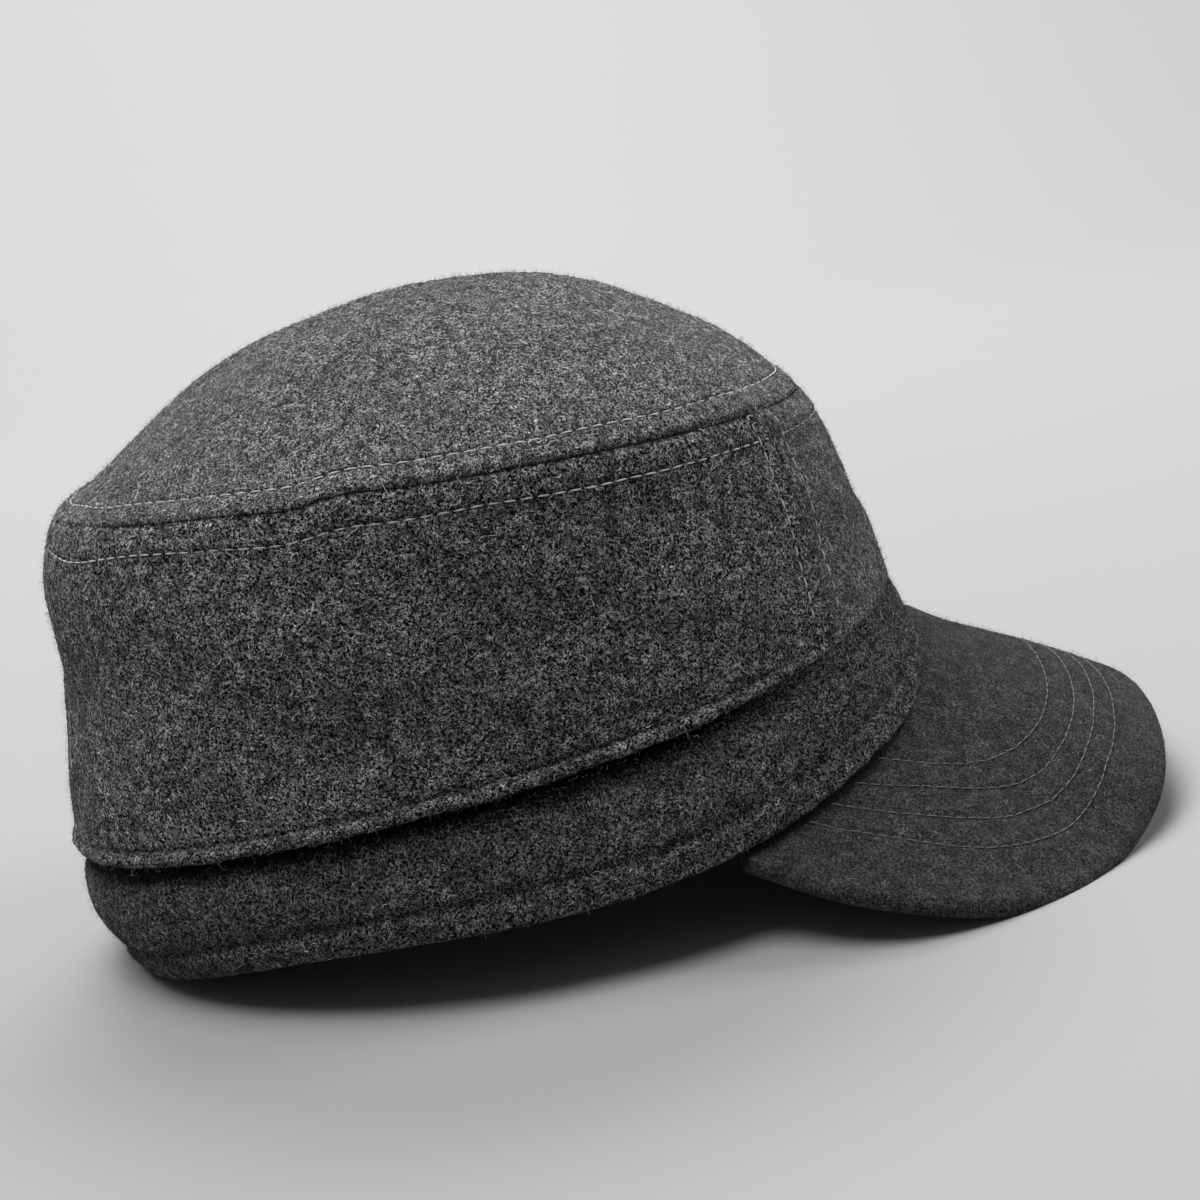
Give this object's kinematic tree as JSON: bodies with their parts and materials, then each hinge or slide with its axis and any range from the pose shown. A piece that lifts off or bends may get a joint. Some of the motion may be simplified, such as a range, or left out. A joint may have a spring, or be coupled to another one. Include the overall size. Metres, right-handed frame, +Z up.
{
  "type": "cadet cap",
  "caption": "Thick grey wool cadet cap: domed oval top, upright panels with a rolled lower fold, a hemmed band and an arched, topstitched peak.",
  "frame": {"origin": "middle of the cap's box, on the surface that it rests on", "axes": "+Z up, the peak points along -Y, the wearer's right is -X"},
  "size_m": [0.1864, 0.2632, 0.1465],
  "materials": {
    "wool_cloth": "matte, napped grey melange wool",
    "peak_cloth": "matte, napped grey melange wool over a stiff board",
    "thread": "matte sewing thread"
  },
  "bodies": {
    "root": {"crown_top": "wool_cloth", "front_panel": "wool_cloth", "side_panel_right": "wool_cloth", "side_panel_left": "wool_cloth", "band": "wool_cloth", "peak": "peak_cloth"}
  },
  "joints": []
}
